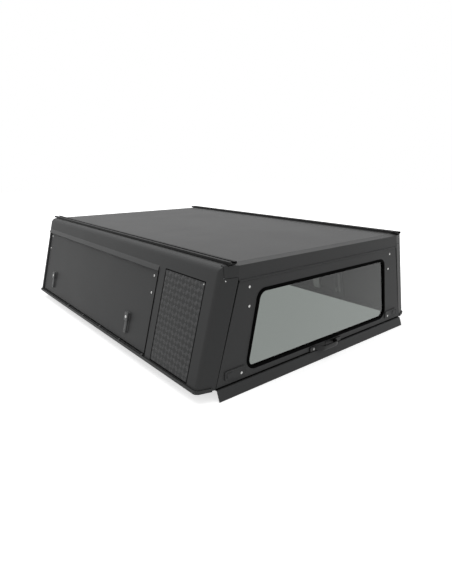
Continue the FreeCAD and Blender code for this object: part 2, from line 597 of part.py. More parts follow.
def rear_door():
    hole, seal, pane = window("rear_window", REAR, "rear_window_half_bottom", "rear_window_half_top",
                              "rear_window_bottom_z", "rear_window_top_z")
    panel = block("rear_door_blank", REAR,
                  trapezoid("rear_door_half_bottom", "rear_door_half_top", "rear_door_bottom_z", REAR_DOOR_TOP),
                  "-wall", "0")
    sub_part(cut("rear_door_cut", panel, [hole]), "rear_door")
    sub_part(seal, "rear_window_seal")
    sub_part(pane, "rear_glass")
    flap = block("flap_sheet_metal", CROSS, (
        ("wall - rear_overhang", "rear_door_bottom_z"), ("-rear_overhang - flap_proud", "rear_door_bottom_z"),
        ("-rear_overhang - flap_proud - flap_reach", "-flap_drop"),
        ("-rear_overhang - flap_proud - flap_reach + flap_sheet", "-flap_drop"),
        ("-rear_overhang - flap_proud + flap_sheet", "rear_door_bottom_z - flap_sheet"),
        ("wall - rear_overhang", "rear_door_bottom_z - flap_sheet")),
        "-rear_door_half_bottom", "rear_door_half_bottom")
    sub_part(flap, "rear_flap")


def rear_jamb():
    """Frame behind the rear opening, open at the bottom, whose flange carries the rubber."""
    def arch(name, outside, outside_top, low, high, bottom="flange_thickness"):
        return block(name, REAR,
                     trapezoid(f"rear_door_half_bottom + ({outside})", f"rear_door_half_top + ({outside})",
                               bottom, outside_top), low, high)
    blank = arch("rear_jamb_blank", "rear_gap + jamb_cover", f"{HEADER_BOTTOM} + jamb_cover",
                 "-rear_jamb_depth", "-wall")
    rebate = arch("rear_jamb_rebate", "rear_gap", HEADER_BOTTOM, "-rear_jamb_depth + jamb_sheet", "0", "-5")
    hole = arch("rear_jamb_hole", "rear_gap - jamb_flange", f"{HEADER_BOTTOM} - jamb_top_flange",
                "-100", "0", "-5")
    sub_part(cut("rear_jamb_cut", blank, [rebate, hole]), "rear_jamb")
    low, high = "-rear_jamb_depth + jamb_sheet", "-wall - bulb_play"
    outside = arch("rear_rubber_outside", "rear_gap - jamb_flange + bulb_setback + bulb_width",
                   f"{HEADER_BOTTOM} - jamb_top_flange + bulb_setback + bulb_width", low, high)
    inside = arch("rear_rubber_inside", "rear_gap - jamb_flange + bulb_setback",
                  f"{HEADER_BOTTOM} - jamb_top_flange + bulb_setback", low, high, "-5")
    return cut("rear_rubber", outside, [inside])


def rear_fittings():
    feet = "-rear_overhang"
    far = "-rear_overhang - handle_reach"
    raised = f"{feet} - handle_foot"
    handle = block("handle_bow", PLAN, (
        ("-handle_half_foot", feet), ("-handle_half_foot", raised), ("-handle_half_arm", raised),
        ("-handle_half_grip", far), ("handle_half_grip", far), ("handle_half_arm", raised),
        ("handle_half_foot", raised), ("handle_half_foot", feet), ("handle_half_arm - handle_bar", feet),
        ("handle_half_grip - handle_bar", f"{far} + handle_bar"),
        ("handle_bar - handle_half_grip", f"{far} + handle_bar"), ("handle_bar - handle_half_arm", feet)),
        "handle_bottom_z", "handle_top_z", "handle_corner")
    sub_part(handle, "rear_handle")
    covers, bolts = [], []
    for side_name, side in SIDES:
        lid_low, lid_high = ("lid_inner_x", "lid_outer_x") if side > 0 else ("-lid_outer_x", "-lid_inner_x")
        low, high = ("cover_inner_x", "cover_outer_x") if side > 0 else ("-cover_outer_x", "-cover_inner_x")
        plate = block("latch_cover_plate_" + side_name, REAR,
                      rectangle(low, high, "cover_bottom_z", "cover_top_z"), "0", "cover_proud", "cover_corner")
        lid = block("latch_cover_lid_" + side_name, REAR,
                    rectangle(lid_low, lid_high, "cover_bottom_z + lid_margin", "cover_top_z - lid_margin"),
                    "0", "lid_proud", "lid_corner")
        covers.append(union("latch_cover_" + side_name, [plate, lid]))
        bolts.append(block("rear_slam_" + side_name, REAR,
                           rectangle(f"{low} + 10", f"{high} - 10", "cover_bottom_z", "cover_top_z"),
                           "-wall - slam_thickness", "-wall"))
    sub_part(group("latch_cover_pair", covers), "rear_latch_covers")
    sub_part(group("rear_slam_pair", bolts), "rear_slam_locks")


# Continuous hinges: knuckles take turns along the pin, half on the body and half on the door
def side_hinge(side_name, side):
    frame = side_frame(side)
    hinge_up = f"side_hinge_z / {LEAN}"
    axis_up = size["side_hinge_z"] / math.cos(lean)
    first, last = size["side_door_rear_y"], size["side_door_front_y"]
    start = frame.multVec(Vector(side * first, axis_up, -size["side_door_recess"]))
    return hinge_pair("side_hinge_" + side_name, start, Vector(0, 1, 0), last - first,
                      lambda label, low, high, bottom, top: side_section(
                          label, side, rectangle(f"-side_door_recess {low}", f"-side_door_recess {high}",
                                                 f"{hinge_up} {bottom}", f"{hinge_up} {top}"),
                          "side_door_rear_y", "side_door_front_y"))


def rear_hinge():
    start = REAR.multVec(Vector(-size["rear_door_half_top"], size["rear_hinge_z"], 0))
    return hinge_pair("rear_hinge", start, Vector(1, 0, 0), 2 * size["rear_door_half_top"],
                      lambda label, low, high, bottom, top: block(
                          label, CROSS, rectangle(f"-rear_overhang - (0 {low})", f"-rear_overhang - (0 {high})",
                                                  f"rear_hinge_z {bottom}", f"rear_hinge_z {top}"),
                          "-rear_door_half_top", "rear_door_half_top"))


def hinge_pair(name, start, direction, length, leaf_block):
    """The fixed and the moving half of a continuous hinge, with the pin on the fixed half."""
    count = int(size["knuckle_count"])
    pitch = length / count
    rings = {"fixed": [], "moving": []}
    for number in range(count):
        half = "fixed" if number % 2 == 0 else "moving"
        ring = cylinder(f"{name}_knuckle_{number + 1}", "knuckle_radius", str(pitch - size["knuckle_gap"]),
                        start + direction * (number * pitch + size["knuckle_gap"] / 2), direction)
        rings[half].append(ring)
    pin = cylinder(name + "_pin", "hinge_pin_radius", str(length - size["knuckle_gap"]),
                   start + direction * (size["knuckle_gap"] / 2), direction)
    bore = cylinder(name + "_bore", "hinge_pin_radius + hinge_play", str(length), start, direction)
    leaves = {
        "fixed": leaf_block(name + "_upper_leaf", "- hinge_leaf_width", "+ 0",
                            "+ hinge_offset - hinge_leaf", "+ hinge_offset"),
        "moving": leaf_block(name + "_lower_leaf", "- side_door_thickness + 2", "+ 0",
                             "- hinge_offset", "- hinge_offset + hinge_leaf")}
    webs = {
        "fixed": leaf_block(name + "_upper_web", "- hinge_leaf", "+ 0", "+ 1", "+ hinge_offset - hinge_leaf"),
        "moving": leaf_block(name + "_lower_web", "- hinge_leaf", "+ 0", "- hinge_offset + hinge_leaf", "- 1")}
    halves = {}
    for half, other in (("fixed", "moving"), ("moving", "fixed")):
        spans = []
        for number in range(count):
            if (number % 2 == 0) == (other == "fixed"):
                spans.append(cylinder(f"{name}_{half}_notch_{number + 1}", "knuckle_radius + knuckle_gap",
                                      str(pitch + size["knuckle_gap"]),
                                      start + direction * (number * pitch - size["knuckle_gap"] / 2), direction))
        web = cut(f"{name}_{half}_web", webs[half], spans)
        whole = union(f"{name}_{half}", [leaves[half], web] + rings[half])
        if half == "fixed":
            whole = union(f"{name}_{half}_pinned", [whole, pin])
        else:
            whole = cut(f"{name}_{half}_bored", whole, [bore])
        halves[half] = whole
    return halves


# Gas struts, each between a pin on the jamb and an eye by the door's bracket
def side_strut(side_name, side):
    frame = side_frame(side)
    lines = []
    for end, edge, inward in (("rear", size["side_door_rear_y"], 1), ("front", size["side_door_front_y"], -1)):
        y = edge - inward * size["side_gap"] + inward * (size["jamb_flange"] + size["side_strut_offset"])
        hinge_up = size["side_hinge_z"] / math.cos(lean)
        lower = frame.multVec(Vector(side * y, hinge_up - size["side_pin_drop"], -size["side_pin_depth"]))
        upper = frame.multVec(Vector(side * y, hinge_up - size["side_eye_drop"], -size["side_eye_depth"]))
        lines.append((end, lower, upper, Vector(0, inward, 0)))
    return lines


def rear_strut(side):
    lower = REAR.multVec(Vector(side * size["rear_pin_x"], size["rear_hinge_z"] - size["rear_pin_drop"],
                                -size["rear_pin_depth"]))
    upper = REAR.multVec(Vector(side * size["rear_eye_x"], size["rear_hinge_z"] - size["rear_eye_drop"],
                                -size["rear_eye_depth"]))
    hinge_line = REAR.multVec(Vector(upper.x, size["rear_hinge_z"], 0))
    open_upper = hinge_line + FreeCAD.Rotation(Vector(-1, 0, 0), size["rear_swing"]).multVec(upper - hinge_line)
    across = (upper - lower).cross(open_upper - lower).normalize()
    if across.x * side > 0:
        across = across * -1
    return lower, upper, across


def strut_pieces(name, lower, upper, inward, pin_gap):
    """Barrel and rod of one strut, whose pins' line points inward from the jamb to the bracket."""
    way = (upper - lower).normalize()
    half_eye = size["strut_eye_width"] / 2
    barrel = union(name + "_barrel_blank", [
        cylinder(name + "_lower_eye", "strut_eye_radius", "strut_eye_width", lower - inward * half_eye, inward),
        cylinder(name + "_lower_neck", "strut_rod_radius", "strut_neck", lower + way * 2, way),
        cylinder(name + "_tube", "strut_barrel_radius", "strut_barrel_length",
                 lower + way * size["strut_neck"], way)])
    bore = cylinder(name + "_bore", "strut_bore_radius", "strut_barrel_length",
                    lower + way * (size["strut_neck"] + size["strut_end_wall"]), way)
    pin_hole = cylinder(name + "_pin_hole", "strut_pin_radius + strut_pin_play", "strut_eye_width + 4",
                        lower - inward * (half_eye + 2), inward)
    barrel = cut(name + "_barrel", barrel, [bore, pin_hole])
    reach = (upper - lower).Length - size["strut_neck"] - size["strut_barrel_length"]
    shaft = reach + size["strut_rod_inside"]
    rod = union(name + "_rod", [
        cylinder(name + "_shaft", "strut_rod_radius", str(shaft), upper - way * shaft, way),
        cylinder(name + "_upper_eye", "strut_eye_radius", "strut_eye_width", upper - inward * half_eye, inward),
        cylinder(name + "_ball_pin", "strut_pin_radius", f"side_strut_offset - bracket_sheet - {pin_gap}",
                 upper, inward)])
    return barrel, rod


def side_strut_set(side_name, side):
    barrels, rods = [], []
    for end, lower, upper, inward in side_strut(side_name, side):
        barrel, rod = strut_pieces(f"side_strut_{side_name}_{end}", lower, upper, inward, "side_pin_gap")
        barrels.append(barrel)
        rods.append(rod)
    sub_part(group("side_barrels_" + side_name, barrels), "side_strut_barrels_" + side_name)
    sub_part(group("side_rods_" + side_name, rods), "side_strut_rods_" + side_name)


def side_anchor(side_name, side):
    """Plates on the side jamb that hold the struts' lower pins."""
    anchors = []
    hinge_up = f"side_hinge_z / {LEAN}"
    for end, edge, inward in (("rear", "side_door_rear_y", 1), ("front", "side_door_front_y", -1)):
        flange = f"{edge} - {inward} * (side_gap - jamb_flange)"
        low, high = ("- anchor_width", "+ bracket_sheet") if inward > 0 else ("- bracket_sheet", "+ anchor_width")
        plate = block(f"side_anchor_plate_{side_name}_{end}", side_frame(side),
                      rectangle(*along(side, f"{flange} {low}", f"{flange} {high}"),
                                f"{hinge_up} - side_pin_drop - 22", f"{hinge_up} - side_pin_drop + 118"),
                      "-jamb_depth - bracket_sheet", "-jamb_depth")
        low, high = ("", "+ bracket_sheet") if inward > 0 else ("- bracket_sheet", "")
        ear = block(f"side_anchor_ear_{side_name}_{end}", side_frame(side),
                    rectangle(*along(side, f"{flange} {low}", f"{flange} {high}"),
                              f"{hinge_up} - side_pin_drop - 14", f"{hinge_up} - side_pin_drop + 14"),
                    "-side_pin_depth - 9", "-jamb_depth")
        y = size[edge] - inward * (size["side_gap"] - size["jamb_flange"])
        pin_up = size["side_hinge_z"] / math.cos(lean) - size["side_pin_drop"]
        spot = side_frame(side).multVec(Vector(side * y, pin_up, -size["side_pin_depth"]))
        pin = cylinder(f"side_anchor_pin_{side_name}_{end}", "strut_pin_radius",
                       "side_strut_offset + strut_eye_width / 2 + 1", spot, Vector(0, inward, 0))
        anchors.append(union(f"side_anchor_{side_name}_{end}", [plate, ear, pin]))
    return anchors


def side_mount(side_name, side):
    """Brackets on the side door for the rods' eyes, fixed through the skin by two bolts each."""
    mounts = []
    hinge_up = f"side_hinge_z / {LEAN}"
    for end, edge, inward in (("rear", "side_door_rear_y", 1), ("front", "side_door_front_y", -1)):
        face = f"{edge} - {inward} * (side_gap - jamb_flange - 2 * side_strut_offset + bracket_sheet)"
        near, far = ("", "+ bracket_width") if inward > 0 else ("- bracket_width", "")
        plate = block(f"side_mount_plate_{side_name}_{end}", side_frame(side),
                      rectangle(*along(side, f"{face} {near}", f"{face} {far}"),
                                f"{hinge_up} - side_eye_drop - 66", f"{hinge_up} - side_eye_drop + 38"),
                      "-side_door_recess - door_skin - bracket_sheet", "-side_door_recess - door_skin")
        near, far = ("", "+ bracket_sheet") if inward > 0 else ("- bracket_sheet", "")
        ear = block(f"side_mount_ear_{side_name}_{end}", side_frame(side),
                    rectangle(*along(side, f"{face} {near}", f"{face} {far}"),
                              f"{hinge_up} - side_eye_drop - 16", f"{hinge_up} - side_eye_drop + 16"),
                    "-side_eye_depth - 9", "-side_door_recess - door_skin")
        mounts.append(union(f"side_mount_{side_name}_{end}", [plate, ear]))
    sub_part(group("side_mount_pair_" + side_name, mounts), "side_strut_brackets_" + side_name)


def rear_strut_set():
    anchors, mounts = [], []
    for side_name, side in SIDES:
        lower, upper, inward = rear_strut(side)
        barrel, rod = strut_pieces("rear_strut_" + side_name, lower, upper, inward, "rear_pin_gap")
        sub_part(barrel, "rear_strut_barrel_" + side_name)
        sub_part(rod, "rear_strut_rod_" + side_name)
        low = "rear_pin_x + side_strut_offset - bracket_sheet"
        high = "rear_pin_x + side_strut_offset + bracket_width"
        plate = block("rear_anchor_plate_" + side_name, REAR,
                      rectangle(*((low, high) if side > 0 else (f"-({high})", f"-({low})")),
                                "rear_hinge_z - rear_pin_drop - 30", "rear_hinge_z - rear_pin_drop + 40"),
                      "-rear_jamb_depth - bracket_sheet", "-rear_jamb_depth")
        high = "rear_pin_x + side_strut_offset"
        ear = block("rear_anchor_ear_" + side_name, REAR,
                    rectangle(*((low, high) if side > 0 else (f"-({high})", f"-({low})")),
                              "rear_hinge_z - rear_pin_drop - 14", "rear_hinge_z - rear_pin_drop + 14"),
                    "-rear_pin_depth - 9", "-rear_jamb_depth")
        pin = cylinder("rear_anchor_pin_" + side_name, "strut_pin_radius",
                       "side_strut_offset + strut_eye_width / 2 + 1",
                       lower - inward * size["side_strut_offset"], inward)
        anchors.append(union("rear_anchor_" + side_name, [plate, ear, pin]))
        low = "rear_eye_x - side_strut_offset - bracket_width"
        high = "rear_eye_x - side_strut_offset + bracket_sheet"
        plate = block("rear_mount_plate_" + side_name, REAR,
                      rectangle(*((low, high) if side > 0 else (f"-({high})", f"-({low})")),
                                "rear_hinge_z - rear_eye_drop - 60", "rear_hinge_z - rear_eye_drop + 55"),
                      "-wall - bracket_sheet", "-wall")
        low = "rear_eye_x - side_strut_offset"
        ear = block("rear_mount_ear_" + side_name, REAR,
                    rectangle(*((low, high) if side > 0 else (f"-({high})", f"-({low})")),
                              "rear_hinge_z - rear_eye_drop - 16", "rear_hinge_z - rear_eye_drop + 16"),
                    "-rear_eye_depth - 9", "-wall")
        mounts.append(union("rear_mount_" + side_name, [plate, ear]))
    sub_part(group("rear_mount_pair", mounts), "rear_strut_brackets")
    return anchors


# Assembly
roof()
bed_rim()
front_wall()
lips, rubbers, anchors, fixed_hinges = [], [], [], []
for side_name, side in SIDES:
    roof_rail("roof_rail_" + side_name, side)
    side_panels(side_name, side)
    side_door(side_name, side)
    side_latches(side_name, side)
    lips.append(drip_lip(side_name, side))
    rubbers.append(side_rubber(side_name, side))
    halves = side_hinge(side_name, side)
    fixed_hinges.append(halves["fixed"])
    sub_part(halves["moving"], "side_door_hinge_" + side_name)
    side_strut_set(side_name, side)
    anchors += side_anchor(side_name, side)
    side_mount(side_name, side)
rear_door()
rubbers.append(rear_jamb())
rear_fittings()
halves = rear_hinge()
fixed_hinges.append(halves["fixed"])
sub_part(halves["moving"], "rear_door_hinge")
anchors += rear_strut_set()
sub_part(group("drip_lip_pair", lips), "drip_lips")
sub_part(group("rubber_set", rubbers), "door_rubbers")
sub_part(group("anchor_set", anchors), "strut_anchors")
sub_part(group("hinge_set", fixed_hinges), "hinge_leaves")
document.recompute()

# Every object is checked before any file is written.
faulty = [item.Label for item in document.Objects if {"Invalid", "Error"} & set(item.State)]
faulty += [item.Label for item in PARTS
           if item.Shape.isNull() or not item.Shape.isValid() or not item.Shape.Solids]
if faulty:
    raise RuntimeError("failed objects: " + ", ".join(faulty))
os.makedirs("parts", exist_ok=True)
for item in PARTS:
    item.Shape.exportStep(os.path.join("parts", item.Label + ".step"))
    box = item.Shape.BoundBox
    print(f"{item.Label:26s} solids {len(item.Shape.Solids)}  x {box.XMin:8.1f} {box.XMax:8.1f}"
          f"  y {box.YMin:8.1f} {box.YMax:8.1f}  z {box.ZMin:7.1f} {box.ZMax:7.1f}"
          f"  litres {item.Shape.Volume / 1e6:7.3f}")
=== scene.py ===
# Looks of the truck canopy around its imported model. Metres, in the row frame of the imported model.
import json
import math

import bmesh
import bpy
from mathutils import Matrix, Vector


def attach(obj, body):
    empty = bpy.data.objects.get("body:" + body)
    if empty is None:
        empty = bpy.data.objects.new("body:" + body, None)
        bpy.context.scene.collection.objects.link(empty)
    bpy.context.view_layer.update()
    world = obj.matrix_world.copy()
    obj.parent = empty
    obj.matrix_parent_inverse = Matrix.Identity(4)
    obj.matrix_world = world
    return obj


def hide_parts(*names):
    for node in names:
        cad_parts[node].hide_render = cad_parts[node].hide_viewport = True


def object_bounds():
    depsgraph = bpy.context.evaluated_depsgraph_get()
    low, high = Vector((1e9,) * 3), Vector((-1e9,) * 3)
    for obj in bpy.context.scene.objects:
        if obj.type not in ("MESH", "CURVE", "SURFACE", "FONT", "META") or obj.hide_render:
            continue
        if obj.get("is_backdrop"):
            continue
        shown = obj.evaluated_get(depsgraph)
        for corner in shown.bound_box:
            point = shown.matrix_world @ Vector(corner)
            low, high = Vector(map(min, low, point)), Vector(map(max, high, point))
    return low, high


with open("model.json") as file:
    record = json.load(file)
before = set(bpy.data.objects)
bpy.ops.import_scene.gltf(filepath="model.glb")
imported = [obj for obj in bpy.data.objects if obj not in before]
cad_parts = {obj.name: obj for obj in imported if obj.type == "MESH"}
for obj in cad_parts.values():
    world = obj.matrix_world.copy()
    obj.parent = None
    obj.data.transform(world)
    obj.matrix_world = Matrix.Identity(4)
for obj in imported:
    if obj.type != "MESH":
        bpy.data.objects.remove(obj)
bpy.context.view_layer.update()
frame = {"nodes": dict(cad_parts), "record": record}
NODES = frame["nodes"]

# Places in millimetres, as in the source of the solids. Y is counted from the body's rear corner.
MM = 0.001
DATUM = 1020
BASE_HALF_WIDTH = 820
LEAN = math.radians(14.5)
REAR_OVERHANG = 14
BODY_LENGTH = 2040
SIDE_DOOR_RECESS = 8
TREAD_SINK = 0.5
TREAD_GAP = 2.2
TREAD_REAR, TREAD_FRONT, TREAD_BOTTOM, TREAD_TOP = 88, 397, 22, 453
REAR_POST_OUT = -0.9
HANDLE_HEIGHT = 18
COVER_HEIGHT = 50
SIDES = (("left", -1), ("right", 1))

# Bolts and screws, as radius, height and the hexagon socket's apothem, in millimetres
DOOR_BOLT = (4.3, 3.4, 1.7)
PANEL_SCREW = (2.0, 1.8, 0.8)
RING_SIDES = 24

# Places of bolts and latches as (y, z) on a side and (x, z) on the rear
SIDE_DOOR_BOLTS = ((502, 403), (502, 320), (1990, 410), (1990, 325))
REAR_DOOR_BOLTS = ((-545, 341), (-545, 428), (545, 341), (545, 428))
TREAD_SCREW = (96, 443)
HEADER_SCREW = (676, 474)
LATCHES_ALONG = (685, 1822)

# Points of one piece closer than this many metres are joined, and shorter edges than the second go
JOIN_DISTANCE = 0.00001
SHORTEST_EDGE = 0.000005


# Frames whose z points out of a wall and whose y goes up it
def side_spot(side, y, z, out=0.0):
    """On a leaning side, at a place along Y, a height straight up and a distance outward."""
    upward = Vector((-side * math.sin(LEAN), 0, math.cos(LEAN)))
    outward = Vector((side * math.cos(LEAN), 0, math.sin(LEAN)))
    across = upward.cross(outward)
    foot = Vector((side * BASE_HALF_WIDTH, y - DATUM, 0))
    place = foot + upward * (z / math.cos(LEAN)) + outward * out
    return frame_matrix(across, upward, outward, place)


def rear_spot(x, z, out=0.0):
    return frame_matrix(Vector((1, 0, 0)), Vector((0, 0, 1)), Vector((0, -1, 0)),
                        Vector((x, -REAR_OVERHANG - out - DATUM, z)))


def front_spot(x, z, out=0.0):
    return frame_matrix(Vector((-1, 0, 0)), Vector((0, 0, 1)), Vector((0, 1, 0)),
                        Vector((x, BODY_LENGTH + out - DATUM, z)))


def frame_matrix(across, upward, outward, place):
    """Local millimetres to metres in the row frame."""
    turn = Matrix((across, upward, outward)).transposed().to_4x4()
    return Matrix.Translation(place * MM) @ turn @ Matrix.Scale(MM, 4)


# Shapes as lists of points in local millimetres and faces of point numbers
def rings_shape(rings, closed=False, cap_start=False, cap_end=True):
    """Quads between rings of equal length, joined end to end if closed, else capped as asked."""
    count = len(rings[0])
    points = [point for ring in rings for point in ring]
    faces = []
    pairs = list(zip(range(len(rings)), range(1, len(rings))))
    if closed:
        pairs.append((len(rings) - 1, 0))
    for first, second in pairs:
        for spot in range(count):
            after = (spot + 1) % count
            faces.append((first * count + spot, first * count + after,
                          second * count + after, second * count + spot))
    if cap_start:
        faces.append(tuple(reversed(range(count))))
    if cap_end and not closed:
        faces.append(tuple(range((len(rings) - 1) * count, len(rings) * count)))
    return points, faces


def round_ring(radius, height):
    angles = [math.tau * step / RING_SIDES for step in range(RING_SIDES)]
    return [(radius * math.cos(angle), radius * math.sin(angle), height) for angle in angles]


def hex_ring(apothem, height):
    ring = []
    for step in range(RING_SIDES):
        angle = math.tau * step / RING_SIDES
        reach = apothem / math.cos((angle % (math.pi / 3)) - math.pi / 6)
        ring.append((reach * math.cos(angle), reach * math.sin(angle), height))
    return ring


def button_bolt(radius, height, socket):
    """Domed head with a hexagon socket, on a thin washer."""
    washer, washer_top, head_edge = radius * 1.35, 1.2, 1.8
    crown = math.radians(62)
    rings = [round_ring(washer, 0), round_ring(washer, 0.9), round_ring(washer - 0.3, washer_top),
             round_ring(radius, washer_top), round_ring(radius, head_edge)]
    for share in (0.25, 0.5, 0.75, 1.0):
        turn = share * crown
        level = head_edge + (height - head_edge) * math.sin(turn) / math.sin(crown)
        rings.append(round_ring(radius * math.cos(turn), level))
    rings += [hex_ring(socket, height), hex_ring(socket * 0.96, height - 0.4),
              hex_ring(socket * 0.96, height - 2.2)]
    return rings_shape(rings)


def lens_bar(length, width, height, steps=6, across=4):
    """Raised bar of tread plate: a long lens, highest in the middle."""
    points, faces = [], []
    for step in range(steps + 1):
        along = -1 + 2 * step / steps
        swell = max(1 - along * along, 0.0) ** 0.5
        for lane in range(across + 1):
            side = -1 + 2 * lane / across
            points.append((along * length / 2, side * swell * width / 2,
                           height * swell * max(1 - side * side, 0.0)))
    for step in range(steps):
        for lane in range(across):
            start = step * (across + 1) + lane
            faces.append((start, start + across + 1, start + across + 2, start + 1))
    return points, faces


def rounded_ring(corners, radius, height, steps):
    """A convex outline with rounded corners, as a ring at one height."""
    ring = []
    count = len(corners)
    for spot in range(count):
        here = Vector(corners[spot])
        before = (Vector(corners[spot - 1]) - here).normalized()
        after = (Vector(corners[(spot + 1) % count]) - here).normalized()
        half = before.angle(after) / 2
        middle = (before + after).normalized()
        centre = here + middle * (radius / math.sin(half))
        start = here + before * (radius / math.tan(half)) - centre
        sweep = math.pi - 2 * half
        for step in range(steps + 1):
            angle = sweep * step / steps
            turned = Vector((start.x * math.cos(angle) - start.y * math.sin(angle),
                             start.x * math.sin(angle) + start.y * math.cos(angle)))
            point = centre + turned
            ring.append((point.x, point.y, height))
    return ring


def trapezoid(half_bottom, half_top, bottom, top):
    return ((-half_bottom, bottom), (half_bottom, bottom), (half_top, top), (-half_top, top))


def oblong(half_width, half_height, middle=(0, 0)):
    x, y = middle
    return ((x - half_width, y - half_height), (x + half_width, y - half_height),
            (x + half_width, y + half_height), (x - half_width, y + half_height))


def slab(corners, radius, profile, steps=6):
    """A rounded plate whose edge follows a profile of (inset, height) pairs."""
    least_radius = 0.4
    middle_x = sum(corner[0] for corner in corners) / len(corners)
    middle_y = sum(corner[1] for corner in corners) / len(corners)
    rings = []
    for inset, height in profile:
        moved = [(x - math.copysign(inset, x - middle_x), y - math.copysign(inset, y - middle_y))
                 for x, y in corners]
        rings.append(rounded_ring(moved, max(radius - inset, least_radius), height, steps))
    return rings_shape(rings)


def edge_profile(height, edge, start=0.0):
    """Straight side, then a quarter round onto the top."""
    rows = [(0, start)]
    steps = 4
    for step in range(steps + 1):
        angle = math.pi / 2 * step / steps
        rows.append((edge * (1 - math.cos(angle)), height - edge * (1 - math.sin(angle))))
    return rows


# Collecting shapes into pieces that ride on a body
def make_piece(name, body, shapes, materials, smooth=35):
    """shapes holds (points, faces), matrix and material number. Edges sharper than smooth stay crisp."""
    points, faces, numbers = [], [], []
    for (local, local_faces), matrix, number in shapes:
        start = len(points)
        points += [matrix @ Vector(point) for point in local]
        faces += [tuple(start + corner for corner in face) for face in local_faces]
        numbers += [number] * len(local_faces)
    mesh = bpy.data.meshes.new(name)
    mesh.from_pydata(points, [], faces)
    for material in materials:
        mesh.materials.append(material)
    for polygon, number in zip(mesh.polygons, numbers):
        polygon.material_index = number
    work = bmesh.new()
    work.from_mesh(mesh)
    bmesh.ops.remove_doubles(work, verts=work.verts, dist=JOIN_DISTANCE)
    bmesh.ops.dissolve_degenerate(work, edges=work.edges, dist=SHORTEST_EDGE)
    bmesh.ops.recalc_face_normals(work, faces=work.faces)
    work.to_mesh(mesh)
    work.free()
    mesh.polygons.foreach_set("use_smooth", [True] * len(mesh.polygons))
    mesh.set_sharp_from_angle(angle=math.radians(smooth))
    piece = bpy.data.objects.new(name, mesh)
    bpy.context.scene.collection.objects.link(piece)
    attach(piece, body)
    return piece


# Materials, all from nodes
def new_material(name, base, roughness, metallic=0.0, specular=0.5):
    material = bpy.data.materials.new(name)
    material.use_nodes = True
    shader = material.node_tree.nodes["Principled BSDF"]
    shader.inputs["Base Color"].default_value = (*base, 1)
    shader.inputs["Roughness"].default_value = roughness
    shader.inputs["Metallic"].default_value = metallic
    shader.inputs["Specular IOR Level"].default_value = specular
    return material, shader


def add_node(material, kind, **values):
    node = material.node_tree.nodes.new(kind)
    for key, value in values.items():
        setattr(node, key, value)
    return node


def wire(material, source, target):
    material.node_tree.links.new(source, target)


def object_place(material):
    return add_node(material, "ShaderNodeTexCoord").outputs["Object"]


def noise(material, place, scale, detail):
    node = add_node(material, "ShaderNodeTexNoise")
    node.inputs["Scale"].default_value = scale
    node.inputs["Detail"].default_value = detail
    node.inputs["Roughness"].default_value = 0.55
    wire(material, place, node.inputs["Vector"])
    return node.outputs["Fac"]


def spread(material, value, low, high):
    """A 0 to 1 value mapped onto a range, its middle third stretched."""
    node = add_node(material, "ShaderNodeMapRange")
    node.inputs["From Min"].default_value = 0.3
    node.inputs["From Max"].default_value = 0.7
    node.inputs["To Min"].default_value = low
    node.inputs["To Max"].default_value = high
    wire(material, value, node.inputs["Value"])
    return node.outputs["Result"]


def tint(material, shader, value, dark, light):
    """The base colour runs from dark to light with a 0 to 1 value."""
    node = add_node(material, "ShaderNodeMix", data_type="RGBA")
    colour_a = next(item for item in node.inputs if item.identifier == "A_Color")
    colour_b = next(item for item in node.inputs if item.identifier == "B_Color")
    colour_a.default_value = (*dark, 1)
    colour_b.default_value = (*light, 1)
    wire(material, value, node.inputs["Factor"])
    result = next(item for item in node.outputs if item.identifier == "Result_Color")
    wire(material, result, shader.inputs["Base Color"])


def bump(material, value, strength, distance, normal=None):
    node = add_node(material, "ShaderNodeBump")
    node.inputs["Strength"].default_value = strength
    node.inputs["Distance"].default_value = distance
    wire(material, value, node.inputs["Height"])
    if normal is not None:
        wire(material, normal, node.inputs["Normal"])
    return node.outputs["Normal"]


def scaled(colour, factor):
    return tuple(min(value * factor, 1) for value in colour)


def soft_edges(material, radius):
    node = add_node(material, "ShaderNodeBevel", samples=4)
    node.inputs["Radius"].default_value = radius
    return node.outputs["Normal"]


def coated(name, shade, roughness, grain, specular=0.25, edge=0.0012, grain_size=900, peel=0.35):
    """Powder coat: a fine grain, a slow orange peel and slight changes of gloss."""
    base = tuple(shade * share for share in (0.985, 1.0, 1.01))
    material, shader = new_material(name, base, roughness, 0.0, specular)
    place = object_place(material)
    fine = noise(material, place, grain_size, 2.0)
    slow = noise(material, place, 160, 3.0)
    broad = noise(material, place, 3.0, 4.0)
    tint(material, shader, spread(material, fine, 0.0, 1.0), scaled(base, 0.86), scaled(base, 1.16))
    gloss = spread(material, broad, roughness - 0.015, roughness + 0.02)
    wire(material, gloss, shader.inputs["Roughness"])
    normal = soft_edges(material, edge)
    normal = bump(material, slow, peel, 0.0002, normal)
    wire(material, bump(material, fine, grain, 0.0001, normal), shader.inputs["Normal"])
    return material


def metal(name, base, roughness, grain=0.15, scale=400):
    """Bare or plated metal with a speckled colour and roughness."""
    material, shader = new_material(name, base, roughness, 1.0)
    fine = noise(material, object_place(material), scale, 4.0)
    gloss = spread(material, fine, roughness * 0.75, roughness * 1.3)
    wire(material, gloss, shader.inputs["Roughness"])
    tint(material, shader, fine, scaled(base, 0.85), scaled(base, 1.12))
    normal = bump(material, fine, grain, 0.00005, soft_edges(material, 0.0004))
    wire(material, normal, shader.inputs["Normal"])
    return material


